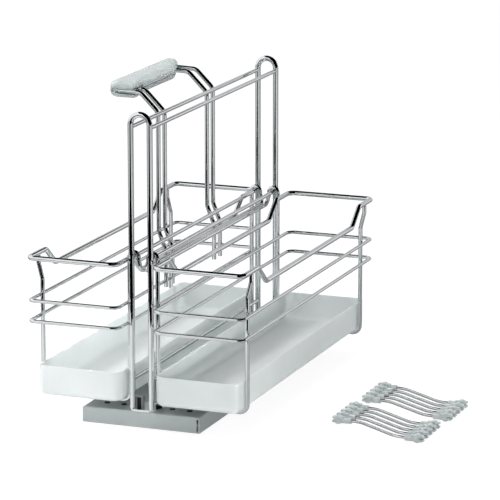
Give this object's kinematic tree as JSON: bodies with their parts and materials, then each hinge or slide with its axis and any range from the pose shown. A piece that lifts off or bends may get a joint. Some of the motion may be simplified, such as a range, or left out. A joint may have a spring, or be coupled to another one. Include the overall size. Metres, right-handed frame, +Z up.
{
  "type": "pull-out storage basket",
  "caption": "Floor-mounted pull-out frame of chromed wire on hidden telescopic runners, carrying lift-off wire baskets with frosted trays, a carry handle and loose dividers.",
  "frame": {"origin": "centre of the floor plate's underside", "axes": "+X across the cabinet to the right, +Y towards the cabinet's rear, +Z up; the carriage pulls out towards -Y"},
  "size_m": [0.4714, 0.4602, 0.3904],
  "materials": {
    "chrome_wire": "bright chrome plating on round steel wire",
    "frosted_plastic": "frosted translucent polypropylene, fine spark-eroded grain",
    "clip_plastic": "translucent polypropylene, moulded",
    "grey_coat": "silver-grey powder coat, satin",
    "zinc_steel": "zinc-plated cold-rolled steel",
    "cage_steel": "plain steel strip",
    "ball_steel": "polished bearing steel",
    "screw_steel": "black passivated steel screw heads",
    "black_plastic": "black moulded rubber-like plastic"
  },
  "bodies": {
    "base": {"floor_plate": "zinc_steel", "left_cabinet_runner": "zinc_steel", "right_cabinet_runner": "zinc_steel", "floor_plate_rivets": "zinc_steel"},
    "outer_cages": {"left_outer_ball_cage": "cage_steel", "left_outer_balls": "ball_steel", "right_outer_ball_cage": "cage_steel", "right_outer_balls": "ball_steel"},
    "middle_runners": {"left_middle_runner": "zinc_steel", "right_middle_runner": "zinc_steel"},
    "inner_cages": {"left_inner_ball_cage": "cage_steel", "left_inner_balls": "ball_steel", "right_inner_ball_cage": "cage_steel", "right_inner_balls": "ball_steel"},
    "carriage": {"carriage_cover": "grey_coat", "left_inner_runner": "zinc_steel", "right_inner_runner": "zinc_steel", "cover_rivets": "zinc_steel", "front_foot_plate": "chrome_wire", "rear_foot_plate": "chrome_wire", "foot_screws": "screw_steel", "catch_hood": "grey_coat", "catch_buffer": "black_plastic", "front_hoop": "chrome_wire", "rear_hoop": "chrome_wire", "left_top_rail": "chrome_wire", "left_middle_rail": "chrome_wire", "left_bottom_rail": "chrome_wire", "right_top_rail": "chrome_wire", "right_middle_rail": "chrome_wire", "right_bottom_rail": "chrome_wire"},
    "carry_basket": {"left_rim": "chrome_wire", "left_upper_ring": "chrome_wire", "left_lower_ring": "chrome_wire", "left_front_frame_wire": "chrome_wire", "left_rear_frame_wire": "chrome_wire", "left_hanger_bar": "chrome_wire", "left_tray": "frosted_plastic", "handle_outer_wire": "chrome_wire", "handle_inner_wire": "chrome_wire", "handle_grip": "frosted_plastic"},
    "side_basket": {"right_rim": "chrome_wire", "right_upper_ring": "chrome_wire", "right_lower_ring": "chrome_wire", "right_front_frame_wire": "chrome_wire", "right_rear_frame_wire": "chrome_wire", "right_hanger_bar": "chrome_wire", "right_tray": "frosted_plastic"},
    "front_dividers": {"front_divider_wires": "chrome_wire", "front_divider_clips": "clip_plastic"},
    "rear_dividers": {"rear_divider_wires": "chrome_wire", "rear_divider_clips": "clip_plastic"}
  },
  "joints": [
    {"name": "carriage_slide", "type": "slide", "parent": "base", "child": "carriage", "axis": [0, -1, 0], "range_m": [0, 0.38]},
    {"name": "middle_slide", "type": "slide", "parent": "base", "child": "middle_runners", "axis": [0, -1, 0], "range_m": [0, 0.19]},
    {"name": "outer_cage_slide", "type": "slide", "parent": "base", "child": "outer_cages", "axis": [0, -1, 0], "range_m": [0, 0.095]},
    {"name": "inner_cage_slide", "type": "slide", "parent": "base", "child": "inner_cages", "axis": [0, -1, 0], "range_m": [0, 0.285]},
    {"name": "carry_basket_lift", "type": "slide", "parent": "carriage", "child": "carry_basket", "axis": [-0.1191, 0, 0.9929], "range_m": [0, 0.35]},
    {"name": "side_basket_lift", "type": "slide", "parent": "carriage", "child": "side_basket", "axis": [0.1191, 0, 0.9929], "range_m": [0, 0.35]},
    {"name": "front_dividers_lift", "type": "slide", "parent": "base", "child": "front_dividers", "axis": [0, 0, 1], "range_m": [0, 0.15]},
    {"name": "rear_dividers_lift", "type": "slide", "parent": "base", "child": "rear_dividers", "axis": [0, 0, 1], "range_m": [0, 0.15]}
  ],
  "couplings": [
    {"joint": "middle_slide", "follows": "carriage_slide", "ratio": 0.5},
    {"joint": "outer_cage_slide", "follows": "carriage_slide", "ratio": 0.25},
    {"joint": "inner_cage_slide", "follows": "carriage_slide", "ratio": 0.75}
  ]
}
